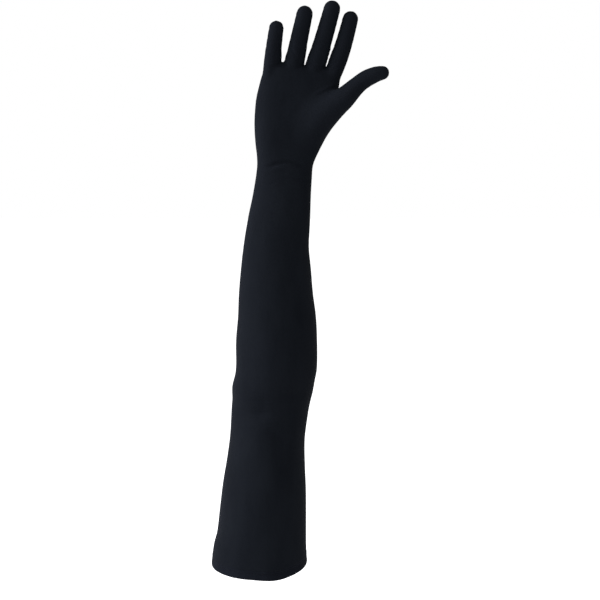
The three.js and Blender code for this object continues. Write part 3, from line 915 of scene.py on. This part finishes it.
line, line_out = (part[0] for part in hem_places([STITCH_HEIGHT], LINE_POINTS))
steps = np.linalg.norm(np.roll(line, -1, axis=0) - line, axis=1)
run = np.r_[0, np.cumsum(steps)]
stitch_count = int(run[-1] / STITCH_PITCH)
stitches = []
for k in range(stitch_count):
    at = int(np.searchsorted(run, k * run[-1] / stitch_count)) % len(line)
    along = line[(at + 2) % len(line)] - line[at - 2]
    along /= np.linalg.norm(along)
    outwards = line_out[at]
    upwards = np.cross(outwards, along)
    points, faces = capsule(STITCH_LENGTH * rng.uniform(*LENGTH_RANGE), THREAD_RADIUS)
    lean = rng.normal(*STITCH_LEAN)
    points = points @ np.array([along + lean * upwards, upwards, outwards])
    stitches.append((sagged(points + line[at] - STITCH_SINK * outwards), faces))
thread = smooth_object("hem_stitches", *joined(stitches))
print(stitch_count, "stitches,", round(run[-1]), "mm round the hem")

# %% [markdown]
# ## The seam allowance
#
# Inside the sleeve, the two edges of cloth are overlocked together in a narrow ridge that lies
# flat against the back panel. It shows when one looks up into the opening, so it is built there
# as a flattened cord with a scalloped edge, where the overlock thread bites.

# %% Ridges inside the sleeve
RIDGE_WIDTH, RIDGE_THICK, RIDGE_SIDES = 4.2, 1.1, 14
RIDGE_FROM, RIDGE_TO, RIDGE_STEP = 12.5, 418, 0.75
RIDGE_ASIDE = 0.4              # from the seam's line to the ridge's near edge
RIDGE_CLEAR = 0.1
RIDGE_TURN = 0.12              # how much its inner face turns towards the palm side
BITE, BITE_PITCH, BITE_SWELL = 0.28, 2.4, 0.2


def ridge(side):
    """The overlocked edge on one side of the sleeve: 1 is the thumb side and -1 the other."""
    z = np.arange(RIDGE_FROM, RIDGE_TO, RIDGE_STEP)
    rows = {k: np.interp(z, sleeve["z"], v) for k, v in sleeve.items()}
    seam = 0.0 if side > 0 else math.pi
    centre = seam + side * (RIDGE_WIDTH / 2 + RIDGE_ASIDE) / rows["half_depth"]
    tilt = np.radians(rows["tilt"])
    sink = relief_depth(np.degrees(centre), rows["z"])
    reach = rows["half_width"] - sink - CLOTH - RIDGE_THICK / 2 - RIDGE_CLEAR
    depth = rows["half_depth"] - CLOTH - RIDGE_THICK / 2
    x = rows["x"] + reach * np.cos(centre) * np.cos(tilt)
    y = seam_depth(rows["x"], rows["z"]) + depth * np.sin(centre + np.radians(rows["skew"]))
    up = rows["z"] + reach * np.cos(centre) * np.sin(tilt)
    place = np.stack([x, y, up], axis=1)
    inward = np.array([-side, -RIDGE_TURN, 0.0])
    inward /= np.linalg.norm(inward)
    ahead = np.gradient(place, axis=0)
    ahead /= np.linalg.norm(ahead, axis=1, keepdims=True)
    wide = np.cross(ahead, inward)
    turn = np.linspace(0, 2 * np.pi, RIDGE_SIDES, endpoint=False)
    wave = np.sin(2 * np.pi * z / BITE_PITCH)[:, None]
    bite = 1 + BITE * np.maximum(wave, 0) * np.maximum(np.cos(turn), 0)
    half = RIDGE_WIDTH / 2 * bite * np.cos(turn)
    thick = RIDGE_THICK / 2 * (1 + BITE_SWELL * wave) * np.sin(turn)
    return closed_loft(place[:, None] + half[..., None] * wide[:, None] + thick[..., None] * inward)


allowance = smooth_object("seam_allowance", *joined([ridge(1), ridge(-1)]))
print("seam allowance:", len(allowance.data.polygons), "faces")

# %% [markdown]
# ## Knit
#
# Stretch knit is columns of tiny V-shaped loops. From a step away they blend into an even, soft
# surface with a faint drift of tone, and only a close look shows them. One node group draws the
# loops from the object's own coordinates, so no unwrapping is needed: on the front and back the
# columns are spaced along X, on the sides along Y, and the surface normal blends the two.

# %% Node helpers
class Tree:
    """A short way to write node trees: each call makes a node and returns an output."""

    def __init__(self, tree):
        self.tree = tree

    def node(self, kind, inputs=(), out=0, **settings):
        made = self.tree.nodes.new(kind)
        for name, value in settings.items():
            setattr(made, name, value)
        for key, value in dict(inputs).items():
            socket = made.inputs[key]
            if isinstance(value, bpy.types.NodeSocket):
                self.tree.links.new(value, socket)
            else:
                socket.default_value = value
        return made.outputs[out]

    def math(self, operation, *values):
        return self.node("ShaderNodeMath", enumerate(values), operation=operation)


def new_group(name, inputs, outputs):
    """A shader node group with float sockets: inputs map names to defaults."""
    group = bpy.data.node_groups.new(name, "ShaderNodeTree")
    for socket, default in inputs.items():
        made = group.interface.new_socket(socket, in_out="INPUT", socket_type="NodeSocketFloat")
        made.default_value = default
    for socket in outputs:
        group.interface.new_socket(socket, in_out="OUTPUT", socket_type="NodeSocketFloat")
    entry = group.nodes.new("NodeGroupInput")
    leave = group.nodes.new("NodeGroupOutput")
    return group, Tree(group), entry.outputs, leave.inputs


# %% The knit's loops
knit, t, given, result = new_group(
    "knit_loops", {"Column": 0.62, "Row": 0.48, "Slant": 0.9}, ["Height"])
place = t.node("ShaderNodeTexCoord", out="Object")
xyz = t.node("ShaderNodeSeparateXYZ", {0: place}).node
facing = t.node("ShaderNodeSeparateXYZ", {0: t.node("ShaderNodeNewGeometry", out="Normal")}).node


def loops(across):
    """Height of the loops where the columns are spaced along one coordinate."""
    column = t.math("DIVIDE", t.math("MULTIPLY", across, 1 / MM), given["Column"])
    row = t.math("DIVIDE", t.math("MULTIPLY", xyz.outputs["Z"], 1 / MM), given["Row"])
    from_middle = t.math("ABSOLUTE", t.math("SUBTRACT", t.math("FRACT", column), 0.5))
    slanted = t.math("ADD", row, t.math("MULTIPLY", from_middle, given["Slant"]))
    loop = t.math("SINE", t.math("MULTIPLY", slanted, 2 * math.pi))
    rib = t.math("COSINE", t.math("MULTIPLY", t.math("SUBTRACT", from_middle, 0.25), 4 * math.pi))
    return t.math("MULTIPLY_ADD", loop, 0.25, t.math("MULTIPLY_ADD", rib, 0.25, 0.5))


side_on = t.math("POWER", t.math("ABSOLUTE", facing.outputs["X"]), 3.0)
front_on = t.math("POWER", t.math("ABSOLUTE", facing.outputs["Y"]), 3.0)
side_share = t.math("DIVIDE", side_on, t.math("ADD", t.math("ADD", side_on, front_on), 0.001))
height = t.node("ShaderNodeMix", {0: side_share, 2: loops(xyz.outputs["X"]), 3: loops(xyz.outputs["Y"])})
t.tree.links.new(height, result["Height"])

# %% A drift of tone and fine fuzz
drift, t, given, result = new_group("tone_drift", {"Size": 40.0, "Fuzz": 900.0}, ["Drift", "Fuzz"])
place = t.node("ShaderNodeTexCoord", out="Object")
stretch = t.node("ShaderNodeMapping", {"Vector": place, "Scale": (1.0, 1.0, 0.35)})
slow = t.node(
    "ShaderNodeTexNoise", {"Vector": stretch, "Scale": given["Size"], "Detail": 4.0, "Roughness": 0.55})
fine = t.node(
    "ShaderNodeTexNoise", {"Vector": place, "Scale": given["Fuzz"], "Detail": 3.0, "Roughness": 0.6})
t.tree.links.new(slow, result["Drift"])
t.tree.links.new(fine, result["Fuzz"])

# %% Twisted thread
twist, t, given, result = new_group("thread_twist", {"Pitch": 0.5}, ["Height"])
place = t.node("ShaderNodeTexCoord", out="Object")
xyz = t.node("ShaderNodeSeparateXYZ", {0: place}).node
steep = t.math("MULTIPLY", xyz.outputs["Z"], 1.7)
run = t.math("ADD", xyz.outputs["X"], t.math("ADD", xyz.outputs["Y"], steep))
wave = t.math("SINE", t.math("DIVIDE", t.math("MULTIPLY", run, 2 * math.pi / MM), given["Pitch"]))
t.tree.links.new(t.math("MULTIPLY_ADD", wave, 0.5, 0.5), result["Height"])
print("node groups:", [g.name for g in bpy.data.node_groups])


# %% [markdown]
# ## Finishes
#
# Black cloth is never black. It returns about a hundredth of the light, a little cooler than grey,
# and its fuzz catches a faint sheen at the edges. Sheen and specular stay plain numbers on the
# shader, and what varies is the colour, the roughness and the bump. The colour drifts at random,
# and it carries painted shade: a little darker in the low places of the knit and the thread.

# %% Cloth and thread materials
MOST_NOISE = {1: 0.3, 2: 0.7}  # the values that most of a noise keeps to, as a range to map from
ROUGH_SWING = 0.06
# shares of the colour's lightness: a random drift of tone, and painted shade in the low places between the
# knit's loops
DRIFT_SHARE, LOOP_SHADE_SHARE = 0.6, 0.4
FUZZ_RELIEF = 0.8
LOOP_DEPTH, PLY_DEPTH = 0.1 * MM, 0.12 * MM


def new_material(name):
    """A material, a short way to write its nodes, and its shader."""
    made = bpy.data.materials.new(name)
    made.use_nodes = True
    return made, Tree(made.node_tree), made.node_tree.nodes["Principled BSDF"]


def join_shader(t, shader, colour, rough, bump):
    for value, socket in ((colour, "Base Color"), (rough, "Roughness"), (bump, "Normal")):
        t.tree.links.new(value, shader.inputs[socket])


def cloth_material(name, deep, bright, roughness, sheen, column, row, relief):
    material, t, shader = new_material(name)
    loops = t.node("ShaderNodeGroup", {}, node_tree=knit).node
    loops.inputs["Column"].default_value = column
    loops.inputs["Row"].default_value = row
    tone = t.node("ShaderNodeGroup", {}, node_tree=drift).node
    light = t.node("ShaderNodeMapRange", {0: tone.outputs["Drift"], **MOST_NOISE})
    light = t.math("MULTIPLY", light, DRIFT_SHARE)
    # painted shade: the colour is a little darker where the loops sink, added to the random drift of tone
    light = t.math("ADD", light, t.math("MULTIPLY", loops.outputs["Height"], LOOP_SHADE_SHARE))
    colour = t.node("ShaderNodeMix", {0: light, 6: (*deep, 1), 7: (*bright, 1)}, out=2, data_type="RGBA")
    rough = t.node("ShaderNodeMapRange", {
        0: tone.outputs["Fuzz"], **MOST_NOISE, 3: roughness - ROUGH_SWING, 4: roughness + ROUGH_SWING})
    surface = t.math("ADD", loops.outputs["Height"], t.math("MULTIPLY", tone.outputs["Fuzz"], FUZZ_RELIEF))
    bump = t.node("ShaderNodeBump", {"Height": surface, "Strength": relief, "Distance": LOOP_DEPTH})
    join_shader(t, shader, colour, rough, bump)
    shader.inputs["Specular IOR Level"].default_value = 0.04
    shader.inputs["Sheen Weight"].default_value = sheen
    shader.inputs["Sheen Roughness"].default_value = 0.45
    shader.inputs["Sheen Tint"].default_value = (0.62, 0.72, 0.95, 1)
    return material


def thread_material(name, deep, bright, pitch):
    material, t, shader = new_material(name)
    ply = t.node("ShaderNodeGroup", {}, node_tree=twist).node
    ply.inputs["Pitch"].default_value = pitch
    height = ply.outputs["Height"]
    tone = t.node("ShaderNodeGroup", {}, node_tree=drift).node
    # painted shade: the thread's colour is darker in the grooves of its twist and lighter on the plies
    colour = t.node("ShaderNodeMix", {0: height, 6: (*deep, 1), 7: (*bright, 1)}, out=2, data_type="RGBA")
    rough = t.node("ShaderNodeMapRange", {0: tone.outputs["Fuzz"], **MOST_NOISE, 3: 0.5, 4: 0.62})
    bump = t.node("ShaderNodeBump", {"Height": height, "Strength": 0.6, "Distance": PLY_DEPTH})
    join_shader(t, shader, colour, rough, bump)
    shader.inputs["Specular IOR Level"].default_value = 0.08
    shader.inputs["Sheen Weight"].default_value = 0.02
    return material


body_knit = cloth_material(
    "stretch_knit", (0.0042, 0.0054, 0.0080), (0.0082, 0.0100, 0.0136), 0.78, 0.01, 0.62, 0.48, 0.5)
hem_knit = cloth_material(
    "hem_knit", (0.0040, 0.0052, 0.0084), (0.0080, 0.0098, 0.0144), 0.74, 0.01, 0.62, 0.48, 0.45)
stitch_thread = thread_material("stitch_thread", (0.003, 0.004, 0.006), (0.007, 0.008, 0.012), 0.5)
overlock_thread = thread_material("overlock_thread", (0.004, 0.005, 0.007), (0.011, 0.013, 0.017), 0.8)
for piece in panels.values():
    piece.data.materials.append(body_knit)
hem.data.materials.append(hem_knit)
thread.data.materials.append(stitch_thread)
allowance.data.materials.append(overlock_thread)
print("materials:", [m.name for m in bpy.data.materials if not m.name.startswith("Dots")])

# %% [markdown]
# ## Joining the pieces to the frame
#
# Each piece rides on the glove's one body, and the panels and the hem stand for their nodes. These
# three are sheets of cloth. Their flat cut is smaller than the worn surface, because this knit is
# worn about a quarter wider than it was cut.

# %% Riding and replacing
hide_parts("palm_panel")
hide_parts("back_panel")
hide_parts("hem_band")
for piece in panels.values():
    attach(piece, "root")
for piece in (hem, thread, allowance):
    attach(piece, "root")
print("pieces on the frame")

# %% [markdown]
# ## Studio
#
# The glove is shown on white, lit mostly by one large soft light from the left, so that its left
# side is a little lighter and the right side falls off into the dark. The floor is far below the
# hem, and as pale as the background.

# %% Floor, lights and world
FLOOR_DROP = 0.30
FLOOR_SIDE, FLOOR_BACK = 4000, 6000
GLOW_AROUND, GLOW_SEEN = 0.1, 0.85   # the floor's glow on the glove, and as the camera sees it
corners = [
    (-FLOOR_SIDE, -FLOOR_SIDE, 0), (FLOOR_SIDE, -FLOOR_SIDE, 0),
    (FLOOR_SIDE, FLOOR_BACK, 0), (-FLOOR_SIDE, FLOOR_BACK, 0),
]
floor = new_object("floor", corners, [[0, 1, 2, 3]])
floor.location.z = -FLOOR_DROP
floor_paint, t, floor_shader = new_material("pale_floor")
floor_shader.inputs["Base Color"].default_value = (0.9, 0.9, 0.9, 1)
floor_shader.inputs["Roughness"].default_value = 0.9
floor_shader.inputs["Emission Color"].default_value = (1, 1, 1, 1)
seen = t.node("ShaderNodeLightPath", out="Is Camera Ray")
glow = t.node("ShaderNodeMix", {0: seen, 2: GLOW_AROUND, 3: GLOW_SEEN})
t.tree.links.new(glow, floor_shader.inputs["Emission Strength"])
floor.data.materials.append(floor_paint)


def soft_light(name, place, aim, size, power, colour=(1, 1, 1)):
    data = bpy.data.lights.new(name, "AREA")
    data.shape = "DISK"
    data.size = size
    data.energy = power
    data.color = colour
    made = bpy.data.objects.new(name, data)
    bpy.context.scene.collection.objects.link(made)
    made.location = place
    made.rotation_euler = (Vector(place) - Vector(aim)).to_track_quat("Z", "Y").to_euler()


AIM = (0.03, 0, 0.3)
BACKDROP, SURROUND = 1.0, 0.38   # what the camera sees behind the glove, and what lights it
soft_light("key", (-1.9, -0.15, 1.0), AIM, 1.3, 43, (0.96, 0.98, 1.08))
soft_light("fill", (-0.8, -2.0, 0.6), AIM, 1.8, 12)
soft_light("top", (-0.2, -0.6, 2.2), AIM, 1.2, 8)
world = bpy.data.worlds.new("studio")
bpy.context.scene.world = world
world.use_nodes = True
t = Tree(world.node_tree)
sky = world.node_tree.nodes["Background"]
sky.inputs["Color"].default_value = (1, 1, 1, 1)
seen = t.node("ShaderNodeLightPath", out="Is Camera Ray")
strength = t.node("ShaderNodeMix", {0: seen, 2: SURROUND, 3: BACKDROP})
t.tree.links.new(strength, sky.inputs["Strength"])
bpy.context.scene.view_settings.view_transform = "Standard"
bpy.context.scene.view_settings.look = "None"
print("lights:", [light.name for light in bpy.data.lights])
